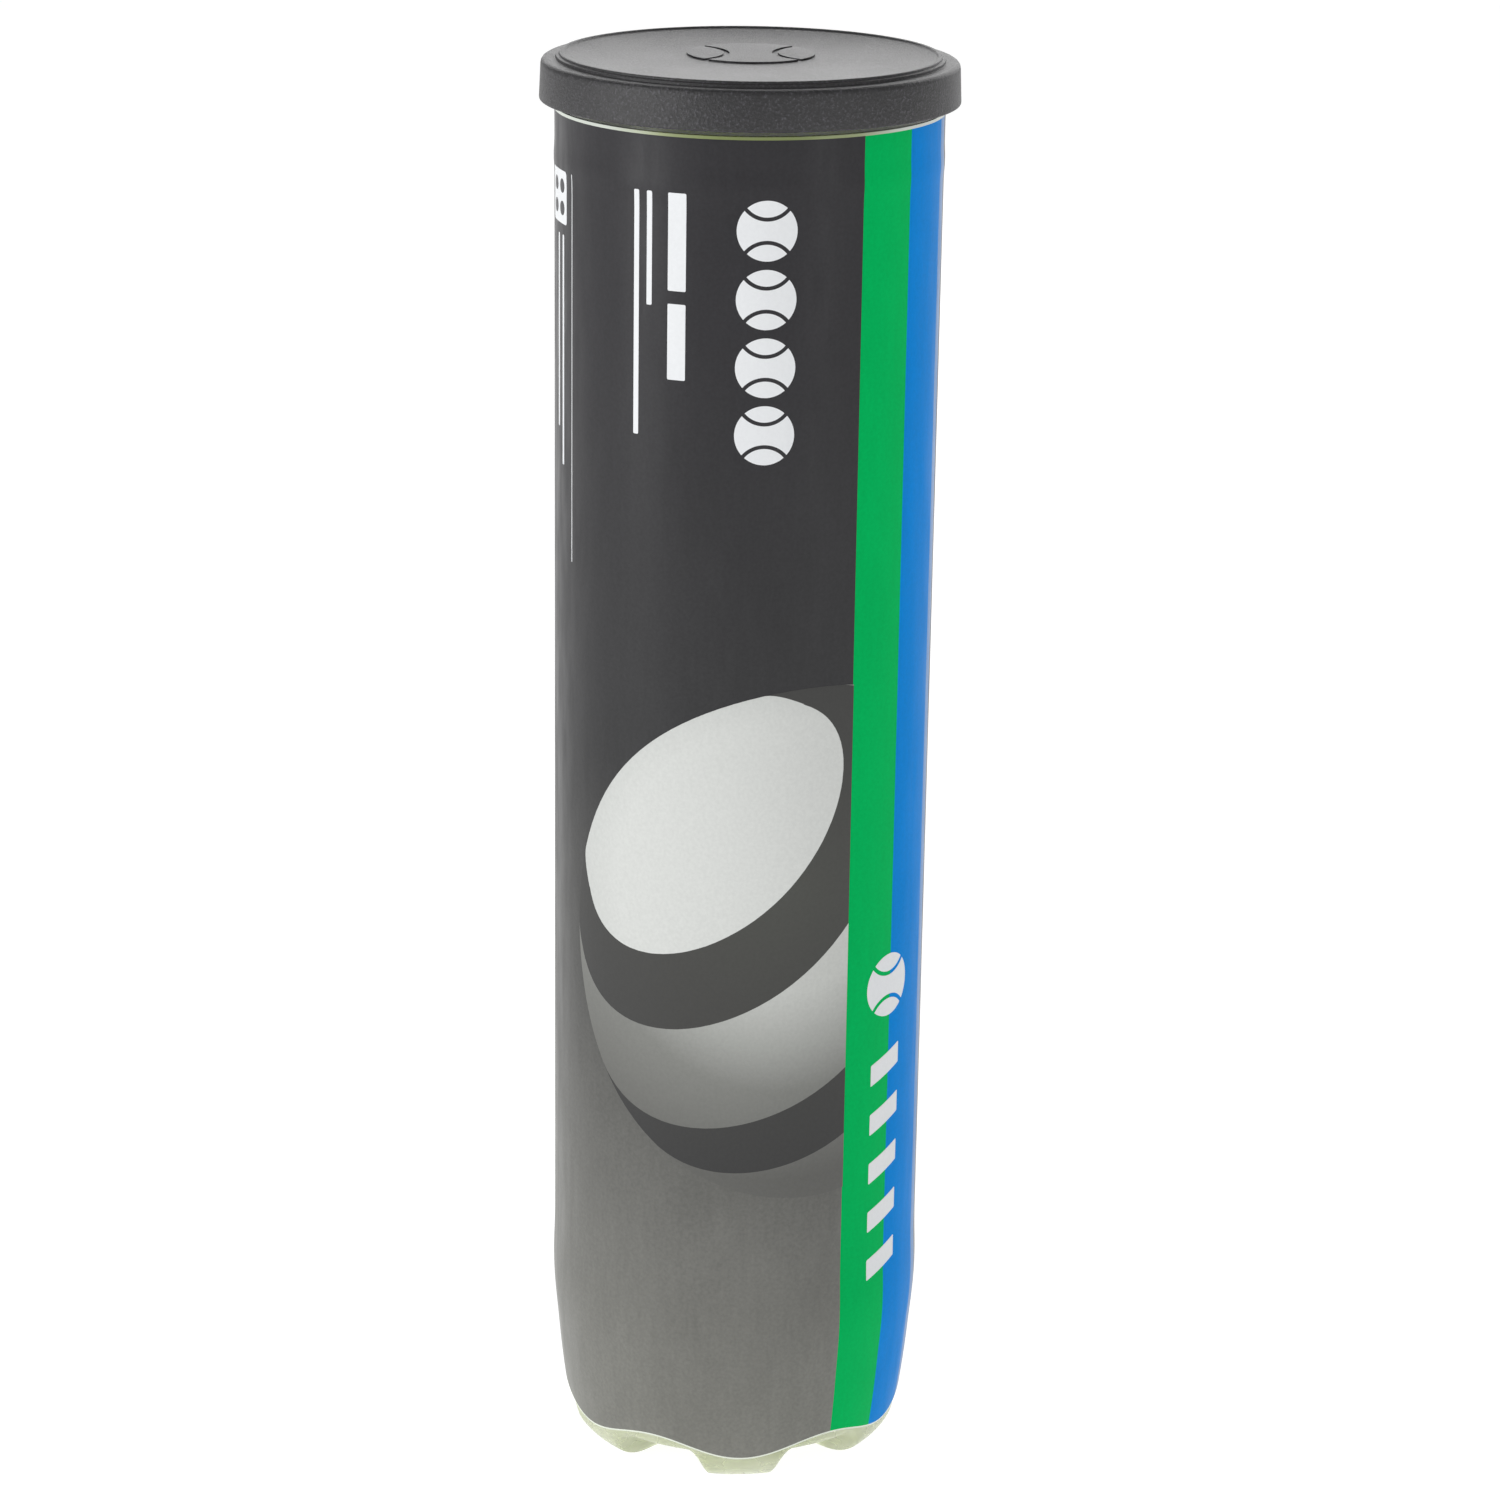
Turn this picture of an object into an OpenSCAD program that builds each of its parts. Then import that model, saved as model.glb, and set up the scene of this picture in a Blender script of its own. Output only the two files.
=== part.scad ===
// Sealed can of four tennis balls: clear tube with petal feet, shrink sleeve,
// seamed easy-open end, press-fit overcap, and the balls inside.
// Z is up, the feet stand on z = 0, the can's axis is the Z axis and one foot points along -Y.

/* [Can body] */
// Outer radius of the bare tube
body_r = 36.55; // [36.3:0.05:36.7]
// Wall thickness of the tube
wall = 0.5; // [0.4:0.05:0.6]
// Height of the lowest point of the sleeve, where the side wall ends above a foot
heel_z = 7.1; // [6.5:0.1:7.6]
// Side wall radius at that height
heel_r = 33.95; // [33.7:0.05:34.2]
// Height where the side wall starts to draw in
taper_top = 41; // [38:1:44]
// How far the moulded bead under the neck stands out
bead_out = 0.15; // [0.05:0.05:0.2]
// How far the belly above the taper stands out
belly_out = 0.3; // [0.1:0.05:0.35]

/* [Feet] */
// Number of petal feet
foot_count = 6; // [5:1:6]
// Outer radius of the flat that a foot stands on
foot_outer_r = 24.8; // [24:0.2:26]
// Inner radius of that flat
foot_inner_r = 17.5; // [16:0.5:19]
// Elevation of a foot's own axis
foot_elevation = 21.3; // [21:0.1:21.8]
// Half angle of the cone that a foot is cut from
foot_half_angle = 21.8; // [21.6:0.1:22.3]

/* [Sleeve] */
// Thickness of the shrink sleeve
sleeve_t = 0.13; // [0.08:0.01:0.15]
// Height of the sleeve's top edge
sleeve_top = 271.7; // [268:0.1:272]
// How much higher the sleeve's bottom edge is between two feet than over a foot
sleeve_wave = 3.4; // [2:0.2:4]

/* [End] */
// Height of the top of the double seam
seam_top = 279.1; // [279:0.05:279.1]
// Outer radius of the double seam
seam_r = 38.1; // [38:0.05:38.1]
// Thickness of the aluminium sheet
sheet = 0.25; // [0.2:0.01:0.25]
// Radius of the score line around the tear panel
score_r = 34; // [33.9:0.05:34.1]

/* [Pull tab] */
// Radius of the tab's finger ring
ring_r = 11; // [10:0.5:12]
// Radius of the finger hole
finger_r = 7.8; // [7:0.2:8]
// Distance of the rivet from the can's axis
rivet_y = 23; // [22.5:0.5:23.5]

/* [Overcap] */
// Outer radius of the cap's skirt at its lower rim
cap_r = 39.6; // [39.5:0.1:40]
// Height of the cap's lower rim
cap_bottom = 272.9; // [272.8:0.1:273.2]
// Height of the cap's highest edge
cap_top = 281.5; // [281.5:0.1:282]
// Radius of the raised disc on the cap
disc_r = 35.9; // [35.5:0.1:36.2]

/* [Balls] */
// Diameter of a ball over its felt
ball_d = 66.4; // [66:0.1:66.4]
// Height of the first ball's lowest point
ball_bottom = 8.7; // [8.7:0.05:8.75]
// Thickness of the felt
felt_t = 2.5; // [2:0.1:3]
// Thickness of the rubber core's wall
core_t = 3.4; // [3:0.1:3.8]
// Width of the seam between the two felt panels
seam_w = 1.8; // [1.4:0.1:2.4]

/* [Hidden] */
BALLS = [1, 2, 3, 4];
PIECES = ["core_lower", "core_upper", "felt_a", "felt_b", "seam"];
$fn = 96;

// The bead under the neck and the belly above the taper: middle height and half height
bead_mid = 262.2;
bead_half = 3.6;
belly_mid = 35;
belly_half = 13;
// Lowest part of the wall between two feet: the knuckle's radius and height, and the floor's centre
knuckle_r = 31.2;
knuckle_z = 7.3;
knuckle_rise = 1.5;
floor_z = 7.9;
// How far the wall sits inside the side wall where a foot or the knuckle starts
step_in = 0.06;
// Steps along one curved stretch of an outline
arc_steps = 8;

// The neck: where it starts to flare, the flared radius, and the thinner flange wall
neck_z = 273.2;
neck_flare = 1.8;
neck_r = seam_r - 1.05;
flange_wall = 0.45;
// The folded layers of the double seam, from its outside in, its folded height and its top's chamfer
seam_h = 3.2;
gap = 0.05;
hook_r = seam_r - sheet - gap;
hook_wall = 0.4;
cover_hook_r = hook_r - hook_wall - gap;
gasket_t = 0.25;
seam_chamfer = 0.35;
flange_top = seam_top - sheet - gasket_t;
hook_bottom = seam_top - 2.4;
cover_hook_top = seam_top - 0.95;
chuck_r = neck_r - flange_wall - gap;
// The countersink inside the seam, and the rim that the panel tears away from
sink_r = chuck_r - 0.45;
sink_z = seam_top - 5.2;
sink_w = 0.9;
rim_z = seam_top - 3.65;
score_gap = 0.04;
// The panel's lower middle, and its rivet
panel_z = seam_top - 4.15;
panel_step_r = 31.6;
rivet_r = 2.4;
rivet_head_r = 3.4;
rivet_head_t = 0.6;
// The pull tab: its thicknesses, the width of its parts, and its tip. It turns about the middle of its nose curl
tab_z = panel_z + sheet + 0.3;
tab_t = 1.4;
web_t = 0.5;
web_rise = (tab_t - web_t) / 2;
curl_w = 1.4;
frame_w = 16;
nose_corner = 2.5;
nose_tip = -rivet_y - 6.4;
nose_w = frame_w - 2 * nose_corner;
nose_bite = 0.3;
tongue_w = 8.6;
tongue_start = nose_tip + curl_w + 0.15;
tongue_end = -rivet_y + 5.2;
slot_gap = 0.5;

// The cap's shoulder, walls, holding bead, rim chamfer and raised mark
shoulder_z = cap_top - 1.1;
shoulder_r = cap_r - 0.34;
shoulder_round = 1.2;
cap_inner_r = seam_r + 0.2;
cap_under = seam_top + 0.1;
hold_r = seam_r + 0.06;
hold_z = seam_top - seam_h - 1.4;
cap_plate = 1.2;
cap_chamfer = 0.25;
disc_round = 0.35;
lip_h = 0.3;
lip_w = 0.9;
mark_r = 12;
mark_groove = 1.1;
mark_seam_r = 11;
mark_seam_x = 15;

// The balls
ball_r = ball_d / 2;
ball_pitch = ball_d + 0.15;
core_r = ball_r - felt_t;
join_gap = 0.02;
// The felt panels' outline is four circles on the ball: how far their centres are tilted off its
// middle plane, and the angular radius at which they run into each other
lobe_tilt = 13.5;
lobe_angle = acos(-pow(sin(lobe_tilt), 2)) / 2;
// Half the seam's width, as an angle
seam_half = seam_w / 2 / ball_r * 180 / PI;
seam_inset = 0.45;
// The seam rubber is this much narrower than the gap between the panels, as an angle
seam_side_gap = 0.05;
// Each ball lies at its own turn and lean
ball_turns = [25, 112, 200, 310];
ball_leans = [35, 62, 18, 48];

// A smooth bump from 0 to 1 and back over -1 to 1
function bump(t) = abs(t) >= 1 ? 0 : (1 + cos(180 * t)) / 2;

// How far the side wall has drawn in at height z
function taper(z) = (body_r - heel_r) * pow(max(0, taper_top - z) / (taper_top - heel_z), 2);

// Outer radius of the side wall at height z
function wall_r(z) = body_r - taper(z)
    + bead_out * bump((z - bead_mid) / bead_half)
    + belly_out * bump((z - belly_mid) / belly_half);

// Heights where the side wall's outline needs a point
function belly_heights(z0) = [for (i = [0:16]) z0 + (belly_mid + belly_half - z0) * i / 16];
function bead_heights() = [for (i = [-4:4]) bead_mid + bead_half * i / 4];

// The same list from its last item to its first
function backwards(list) = [for (i = [len(list) - 1 : -1 : 0]) list[i]];

// The side wall's outline from height z0 up to height z1, moved out by d
function side(z0, z1, d = 0) = concat(
    [for (z = belly_heights(z0)) [wall_r(z) + d, z]],
    [for (z = bead_heights()) [wall_r(z) + d, z]],
    [[body_r + d, z1]]
);

// A quarter ellipse from [r0, z0], flat, to [r1, z1], upright
function quarter(r0, z0, r1, z1) =
    [for (i = [0:arc_steps]) let (a = 90 * i / arc_steps)
        [r0 + (r1 - r0) * sin(a), z0 + (z1 - z0) * (1 - cos(a))]];

// The tube's neck from the top of the side wall to the seamed flange, d inside the outer face
function neck(d) = [
    [body_r - d, neck_z],
    [neck_r - min(d, flange_wall), neck_z + neck_flare]
];

// Outline of the tube with the floor that lies between the feet, d inside the outer face
function tube_outline(d, top) = concat(
    [[0, floor_z + d]],
    quarter(knuckle_r - d, knuckle_z + d, wall_r(knuckle_z + knuckle_rise) - step_in - d, knuckle_z + knuckle_rise),
    side(knuckle_z + knuckle_rise + step_in, neck_z - 1, -d),
    neck(d),
    [[neck_r - min(d, flange_wall), top], [0, top]]
);

// Outline that every foot is cut from, d inside the outer face
function foot_outline(d) = concat(
    [[0, floor_z - 0.4 + d], [foot_inner_r + d, d]],
    quarter(foot_outer_r - d, d, heel_r - step_in - d, heel_z),
    [[heel_r - step_in - d, knuckle_z + knuckle_rise + 1], [0, knuckle_z + knuckle_rise + 1]]
);

// The cones that cut the feet, their tips moved out along each foot's axis so that the walls sit d further in
module foot_cones(d) {
    reach = 50;
    for (i = [0 : foot_count - 1])
        rotate([90 - foot_elevation, 0, 360 / foot_count * i])
            translate([0, 0, d / sin(foot_half_angle)])
                cylinder(h = reach, r1 = 0, r2 = reach * tan(foot_half_angle));
}

// The tube and its feet as one solid, d inside the outer face
module tube_solid(d, top) {
    rotate_extrude() polygon(tube_outline(d, top));
    intersection() {
        rotate_extrude() polygon(foot_outline(d));
        foot_cones(d);
    }
}

// The flange's body hook, which folds out and down over the cover hook
module body_hook() {
    inner_r = neck_r - flange_wall / 2;
    rotate_extrude() polygon([
        [inner_r, flange_top - hook_wall], [inner_r, flange_top], [hook_r, flange_top],
        [hook_r, hook_bottom], [hook_r - hook_wall, hook_bottom], [hook_r - hook_wall, flange_top - hook_wall]
    ]);
}

module can_body() {
    color([0.86, 0.9, 0.8, 0.45]) {
        difference() {
            tube_solid(0, flange_top);
            tube_solid(wall, flange_top + 1);
        }
        body_hook();
    }
}

module label_sleeve() {
    lobe = 360 / foot_count / 2;
    half_chord = heel_r * sin(lobe);
    scallop_r = (pow(half_chord, 2) + pow(sleeve_wave, 2)) / (2 * sleeve_wave);
    color([0.2, 0.2, 0.21])
    difference() {
        rotate_extrude() polygon(concat(
            side(heel_z, sleeve_top, join_gap + sleeve_t),
            backwards(side(heel_z, sleeve_top, join_gap))
        ));
        for (i = [0 : foot_count - 1])
            rotate([90, 0, 360 / foot_count * (i + 0.5)])
                translate([0, heel_z + sleeve_wave - scallop_r, 0])
                    cylinder(h = body_r * 2, r = scallop_r);
    }
}

// The double seam, chuck wall, countersink and rim of the end, as one bent sheet
module end_ring() {
    seam_bottom = seam_top - seam_h;
    color([0.8, 0.8, 0.81])
    rotate_extrude() polygon(concat(
        // outer face of the seam, from the cover hook's tip round to the top
        [
            [cover_hook_r, cover_hook_top], [cover_hook_r, seam_bottom + sheet],
            [hook_r + gap, seam_bottom + sheet], [hook_r + gap, seam_top - sheet],
            [chuck_r, seam_top - sheet]
        ],
        // outer face of the chuck wall, down and round under the countersink
        [[sink_r, sink_z + sink_w]],
        [for (i = [0:arc_steps]) let (a = 180 * i / arc_steps)
            [sink_r - sink_w + sink_w * cos(a), sink_z + sink_w - sink_w * sin(a)]],
        [[sink_r - 2 * sink_w, rim_z - 0.2], [sink_r - 2 * sink_w - 0.2, rim_z]],
        // the torn rim, then back along the upper face
        [[score_r + score_gap, rim_z], [score_r + score_gap, rim_z + sheet]],
        [[sink_r - 2 * sink_w - 0.1, rim_z + sheet], [sink_r - 2 * sink_w + sheet, rim_z - 0.1]],
        [for (i = [0:arc_steps]) let (a = 180 - 180 * i / arc_steps)
            [sink_r - sink_w + (sink_w - sheet) * cos(a), sink_z + sink_w - (sink_w - sheet) * sin(a)]],
        [
            [sink_r - sheet, sink_z + sink_w], [chuck_r - sheet, seam_top - seam_chamfer],
            [chuck_r - sheet + seam_chamfer, seam_top], [seam_r - seam_chamfer, seam_top],
            [seam_r, seam_top - seam_chamfer],
            [seam_r, seam_bottom + 0.3], [seam_r - 0.3, seam_bottom],
            [cover_hook_r - sheet + 0.1, seam_bottom], [cover_hook_r - sheet, seam_bottom + 0.1],
            [cover_hook_r - sheet, cover_hook_top]
        ]
    ));
}

module seam_gasket() {
    color([0.55, 0.5, 0.42])
    difference() {
        translate([0, 0, flange_top])
            cylinder(h = gasket_t, r = hook_r);
        translate([0, 0, flange_top - 1])
            cylinder(h = gasket_t + 2, r = chuck_r + gap);
    }
}

module tear_panel() {
    edge = score_r - score_gap;
    color([0.82, 0.82, 0.83])
    union() {
        rotate_extrude() polygon([
            [0, panel_z], [panel_step_r, panel_z], [panel_step_r + 0.5, rim_z], [edge, rim_z],
            [edge, rim_z + sheet], [panel_step_r + 0.3, rim_z + sheet], [panel_step_r - 0.2, panel_z + sheet],
            [0, panel_z + sheet]
        ]);
        translate([0, -rivet_y, panel_z + sheet / 2]) {
            cylinder(h = tab_z + web_rise + web_t - panel_z, r = rivet_r);
            translate([0, 0, tab_z + web_rise + web_t + 0.03 - panel_z - sheet / 2])
                cylinder(h = rivet_head_t, r1 = rivet_head_r, r2 = rivet_head_r - 0.5);
        }
    }
}

// A flat bar on the tab's web plane, from y0 to y1
module web_bar(w, y0, y1, t) {
    translate([-w / 2, y0, 0]) cube([w, y1 - y0, t]);
}

module tab_tongue() {
    color([0.78, 0.78, 0.79])
    translate([0, 0, tab_z + web_rise])
    difference() {
        web_bar(tongue_w, tongue_start, tongue_end, web_t);
        translate([0, -rivet_y, -1]) cylinder(h = web_t + 2, r = rivet_r + gap);
    }
}

// Plan of the tab: nose, frame and finger ring, d inside its edge
module tab_plan(d) {
    inner_corner = nose_corner - d;
    for (side_x = [-1, 1])
        translate([side_x * (frame_w / 2 - nose_corner), nose_tip + nose_corner]) circle(r = inner_corner);
    translate([-nose_w / 2, nose_tip + d]) square([nose_w, nose_corner]);
    translate([-frame_w / 2 + d, nose_tip + nose_corner]) square([frame_w - 2 * d, -nose_tip - nose_corner]);
    circle(r = ring_r - d);
}

// The rolled edge across the nose, a round bar that the tab turns about
module nose_curl() {
    translate([-nose_w / 2 - nose_bite, nose_tip + curl_w / 2, tab_t / 2])
        rotate([0, 90, 0])
            cylinder(h = nose_w + 2 * nose_bite, r = tab_t / 2 - join_gap);
}

module pull_tab() {
    color([0.8, 0.8, 0.82])
    translate([0, 0, tab_z]) {
        difference() {
            union() {
                difference() {
                    linear_extrude(tab_t) tab_plan(0);
                    translate([0, 0, -1]) linear_extrude(tab_t + 2) tab_plan(curl_w);
                }
                translate([0, 0, web_rise]) linear_extrude(web_t) tab_plan(curl_w / 2);
                difference() {
                    cylinder(h = tab_t, r = finger_r + curl_w);
                    translate([0, 0, -1]) cylinder(h = tab_t + 2, r = finger_r + curl_w / 2);
                }
            }
            translate([0, 0, -1]) cylinder(h = tab_t + 2, r = finger_r);
            translate([0, 0, -1]) web_bar(tongue_w + 2 * slot_gap, nose_tip, tongue_end + slot_gap, tab_t + 2);
            translate([0, 0, -1]) web_bar(nose_w, nose_tip - 1, nose_tip + curl_w, tab_t + 2);
        }
        nose_curl();
    }
}

// Outline of the cap's wall in section, from its axis out and back
function cap_outline() = concat(
    [[0, cap_top - lip_h], [disc_r - lip_w, cap_top - lip_h], [disc_r - lip_w + 0.25, cap_top]],
    [[disc_r - disc_round, cap_top], [disc_r, cap_top - disc_round], [disc_r, shoulder_z]],
    [for (i = [0:arc_steps]) let (a = 90 - 90 * i / arc_steps)
        [shoulder_r - shoulder_round + shoulder_round * cos(a), shoulder_z - shoulder_round + shoulder_round * sin(a)]],
    [[cap_r, cap_bottom + cap_chamfer], [cap_r - cap_chamfer, cap_bottom], [cap_inner_r + cap_chamfer, cap_bottom]],
    [[cap_inner_r, hold_z - 0.5], [hold_r, hold_z], [hold_r, hold_z + 0.5], [cap_inner_r, hold_z + 1]],
    [[cap_inner_r, cap_under - 0.3], [cap_inner_r - 0.3, cap_under], [disc_r - 2.6, cap_under]],
    [[disc_r - 3.4, cap_top - lip_h - cap_plate], [0, cap_top - lip_h - cap_plate]]
);

// Raised plain mark on the cap: a ball with its two seam lines
module cap_mark() {
    translate([0, 0, cap_top - lip_h - 0.1])
    difference() {
        cylinder(h = lip_h + 0.1, r = mark_r);
        for (side_x = [-mark_seam_x, mark_seam_x])
            translate([side_x, 0, 0.1])
                difference() {
                    cylinder(h = lip_h + 1, r = mark_seam_r);
                    translate([0, 0, -1]) cylinder(h = lip_h + 3, r = mark_seam_r - mark_groove);
                }
    }
}

module overcap() {
    color([0.13, 0.13, 0.14])
    union() {
        rotate_extrude() polygon(cap_outline());
        cap_mark();
    }
}

// Height of a ball's centre
function ball_z(i) = ball_bottom + ball_r + ball_pitch * (i - 1);

// Puts a piece of ball i in its place
module in_ball(i) {
    translate([0, 0, ball_z(i)])
        rotate([ball_leans[i - 1], 0, ball_turns[i - 1]])
            children();
}

// Half of the rubber core: z is 1 for the upper shell and -1 for the lower
module core_half(z) {
    color([0.22, 0.2, 0.19])
    difference() {
        sphere(r = core_r);
        sphere(r = core_r - core_t);
        translate([0, 0, -z * (core_r + 1)]) cube(2 * core_r + 2, center = true);
    }
}

// The shell that felt and seam share, cut back by inset at its outer face
module cover_shell(inset = 0) {
    difference() {
        sphere(r = ball_r - inset);
        sphere(r = core_r + join_gap);
    }
}

// Two cones that mark circles on the ball, wider than the seam's middle line by the angle widen.
// The upper pair lies along Y and the lower pair, where up is -1, along X
module lobe_cones(widen, up) {
    angle = lobe_angle + widen;
    turn = up < 0 ? 0 : 90;
    for (flip = [0, 180])
        rotate([0, 90 - up * lobe_tilt, turn + flip])
            cylinder(h = ball_r, r1 = 0, r2 = ball_r * tan(angle));
}

// Everything on one side of the ball's middle plane
module half_space(up) {
    translate([0, 0, up * ball_r]) cube(2 * ball_r + 0.001, center = true);
}

// The two felt panels are the same piece: the second is the first, turned over
module felt_panel() {
    difference() {
        cover_shell();
        intersection() {
            half_space(1);
            lobe_cones(seam_half, 1);
        }
        difference() {
            half_space(-1);
            lobe_cones(-seam_half, -1);
        }
    }
}

module felt_a() {
    color([0.8, 0.88, 0.25]) felt_panel();
}

module felt_b() {
    color([0.8, 0.88, 0.25]) rotate([180, 0, 90]) felt_panel();
}

// The stretch of seam on one side of the ball's middle plane
module seam_band(up) {
    half_width = seam_half - seam_side_gap;
    intersection() {
        cover_shell(seam_inset);
        half_space(up);
        difference() {
            lobe_cones(half_width, up);
            lobe_cones(-half_width, up);
        }
    }
}

module ball_seam() {
    color([0.88, 0.88, 0.84])
    union() {
        seam_band(1);
        seam_band(-1);
    }
}

// One named piece of ball i
module ball_piece(i, piece) {
    in_ball(i) {
        if (piece == "core_lower") core_half(-1);
        if (piece == "core_upper") core_half(1);
        if (piece == "felt_a") felt_a();
        if (piece == "felt_b") felt_b();
        if (piece == "seam") ball_seam();
    }
}

can_body();
label_sleeve();
end_ring();
seam_gasket();
tear_panel();
tab_tongue();
pull_tab();
overcap();
for (i = BALLS) for (piece = PIECES)
    ball_piece(i, piece);
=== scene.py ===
"""A sealed can of four tennis balls: clear tube, printed sleeve, metal end, push-on cap and balls."""
import math

import bmesh
import bpy
import numpy as np
from mathutils import Matrix, Vector, noise


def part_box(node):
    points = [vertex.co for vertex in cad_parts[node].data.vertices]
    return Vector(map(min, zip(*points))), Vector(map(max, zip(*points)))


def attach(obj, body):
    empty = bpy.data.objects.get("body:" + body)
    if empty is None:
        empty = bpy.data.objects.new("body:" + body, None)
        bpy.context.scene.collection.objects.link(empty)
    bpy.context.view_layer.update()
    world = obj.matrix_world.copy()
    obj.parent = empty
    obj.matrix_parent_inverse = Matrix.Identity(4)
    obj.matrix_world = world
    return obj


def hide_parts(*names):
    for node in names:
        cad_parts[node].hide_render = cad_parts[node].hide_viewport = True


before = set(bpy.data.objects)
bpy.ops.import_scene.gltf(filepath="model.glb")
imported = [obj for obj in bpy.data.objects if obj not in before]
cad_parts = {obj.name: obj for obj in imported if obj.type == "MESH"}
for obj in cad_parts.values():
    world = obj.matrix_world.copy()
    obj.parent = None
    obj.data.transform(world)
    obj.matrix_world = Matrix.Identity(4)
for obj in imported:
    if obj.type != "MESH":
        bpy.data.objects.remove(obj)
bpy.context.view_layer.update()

# ---------------------------------------------------------------- sizes, in millimetres and degrees
MM = 0.001
TAU = 2 * math.pi

# The side wall, as the tube and the sleeve share it
BODY_R = 36.55
HEEL_Z, HEEL_R = 7.1, 33.95
TAPER_TOP = 41
BEAD_OUT, BEAD_MID, BEAD_HALF = 0.15, 262.2, 3.6
BELLY_OUT, BELLY_MID, BELLY_HALF = 0.3, 35, 13
WALL = 0.5

# The petal feet
FEET = 6
FOOT_INNER_R, FOOT_OUTER_R = 17.5, 24.8
FOOT_FULL, FOOT_END = 11.5, 18.5     # half angles where a foot is whole, and where it has run out
FOOT_MID_Z = 7.5                     # a foot's outline at the axis
GAP_MID_Z, GAP_INNER_Z, GAP_OUTER_Z = 7.9, 7.75, 7.6    # between two feet, from the axis outwards
KNUCKLE_R, KNUCKLE_Z, KNUCKLE_TOP = 31.2, 7.3, 8.8
STEP_IN = 0.06                       # the base stands this far inside the side wall below the sleeve
BASE_TOP = 15
HAZE_TOP = 13                        # below this height the wall is hazy

# The neck and the double seam
NECK_Z = 273.2
SEAM_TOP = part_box("end_ring")[1].z / MM
SEAM_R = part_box("end_ring")[1].x / MM
SHEET = 0.25
GASKET = 0.25
NECK_R = SEAM_R - 1.05
MOUTH_R = NECK_R - 0.45
FLANGE_TOP = SEAM_TOP - SHEET - GASKET
FLANGE_T = 0.4
HOOK_R = SEAM_R - SHEET - 0.05
HOOK_BOTTOM = SEAM_TOP - 2.4

# The sleeve
FILM_OUT = 0.15                      # the film's outer face stands this far off the wall
SLEEVE_R = BODY_R + FILM_OUT
SLEEVE_GAP, SLEEVE_T = 0.02, 0.13
SLEEVE_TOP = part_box("label_sleeve")[1].z / MM
SLEEVE_LOW = 8.45                    # mean height of the lower edge
SLEEVE_SWING = 1.7                   # how far that edge swings down over a foot, and up between two
# Below RIM_TO the film's unprinted lower edge is painted near-white, a painted highlight line
RIM_TO, MARGIN_FROM = 0.0013, 0.9978  # shares of the height between which the film is printed
PRINT_TOP = 261.0                    # the icons, the bars and the box all end at this height
GREEN_FROM, GREEN_TO = 31.7, 50.8    # the stripes' azimuths, from the front towards +X
BLUE_TO = 72.8
# Past the blue stripe up to this azimuth, a lighter blue strip is a painted highlight
BLUE_HIGHLIGHT_TO = 78.5

# The cap
CAP_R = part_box("overcap")[1].x / MM
CAP_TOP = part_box("overcap")[1].z / MM
CAP_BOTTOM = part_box("overcap")[0].z / MM
DISC_R = 35.9
LIP_H, LIP_W = 0.3, 0.9
SHOULDER_Z = CAP_TOP - 1.1
CAP_INNER_R = SEAM_R + 0.2
MARK_R = 12
MARK_SEAM_X, MARK_SEAM_R, MARK_GROOVE = 15, 11, 1.1

# The balls
BALL_R = 33.2
BALL_PITCH = 66.55
FIRST_BALL_Z = 41.9
FELT_IN_R = 30.72
SEAM_W = 1.8
LOBE_TILT = 13.5
LOBE_ANGLE = math.degrees(math.acos(-math.sin(math.radians(LOBE_TILT)) ** 2)) / 2
BALL_TURNS = [25, 112, 200, 310]
BALL_LEANS = [35, 62, 18, 48]


def smooth(t):
    """0 below 0, 1 above 1, and an even S between."""
    t = np.clip(t, 0, 1)
    return t * t * (3 - 2 * t)


def bump(t):
    return np.where(np.abs(t) >= 1, 0, (1 + np.cos(np.pi * t)) / 2)


def wall_r(z):
    """Outer radius of the side wall at height z."""
    draw_in = (BODY_R - HEEL_R) * (np.maximum(0, TAPER_TOP - z) / (TAPER_TOP - HEEL_Z)) ** 2
    bead = BEAD_OUT * bump((z - BEAD_MID) / BEAD_HALF)
    belly = BELLY_OUT * bump((z - BELLY_MID) / BELLY_HALF)
    return BODY_R - draw_in + bead + belly


# ---------------------------------------------------------------- mesh helpers

def piece(name, verts, faces, material, body, replaces=(), sharp=32, recalc=True):
    """A mesh piece from points in millimetres, riding on a body."""
    mesh = bpy.data.meshes.new(name)
    mesh.from_pydata([tuple(v) for v in np.asarray(verts) * MM], [], [tuple(f) for f in faces])
    mesh.validate()
    return finish_piece(name, mesh, material, body, replaces, sharp, recalc)


def finish_piece(name, mesh, material, body, replaces=(), sharp=32, recalc=True):
    if recalc:
        bm = bmesh.new()
        bm.from_mesh(mesh)
        bmesh.ops.recalc_face_normals(bm, faces=bm.faces)
        bm.to_mesh(mesh)
        bm.free()
    mesh.shade_smooth()
    mesh.set_sharp_from_angle(angle=math.radians(sharp))
    obj = bpy.data.objects.new(name, mesh)
    bpy.context.scene.collection.objects.link(obj)
    for m in material if isinstance(material, list) else [material]:
        mesh.materials.append(m)
    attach(obj, body)
    if replaces:
        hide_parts(*replaces)
    return obj


def round_corners(corners, steps):
    """A closed outline from (r, z, fillet) corners, each turned into a short arc."""
    points = []
    count = len(corners)
    for i, (r, z, fillet) in enumerate(corners):
        here = Vector((r, z))
        before = Vector(corners[i - 1][:2]) - here
        after = Vector(corners[(i + 1) % count][:2]) - here
        cut = min(fillet, 0.45 * before.length, 0.45 * after.length)
        if cut < 0.01:
            points.append((r, z))
            continue
        start = here + before.normalized() * cut
        end = here + after.normalized() * cut
        for k in range(steps + 1):
            t = k / steps
            p = start * (1 - t) ** 2 + here * 2 * t * (1 - t) + end * t ** 2
            points.append((p.x, p.y))
    return points


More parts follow.
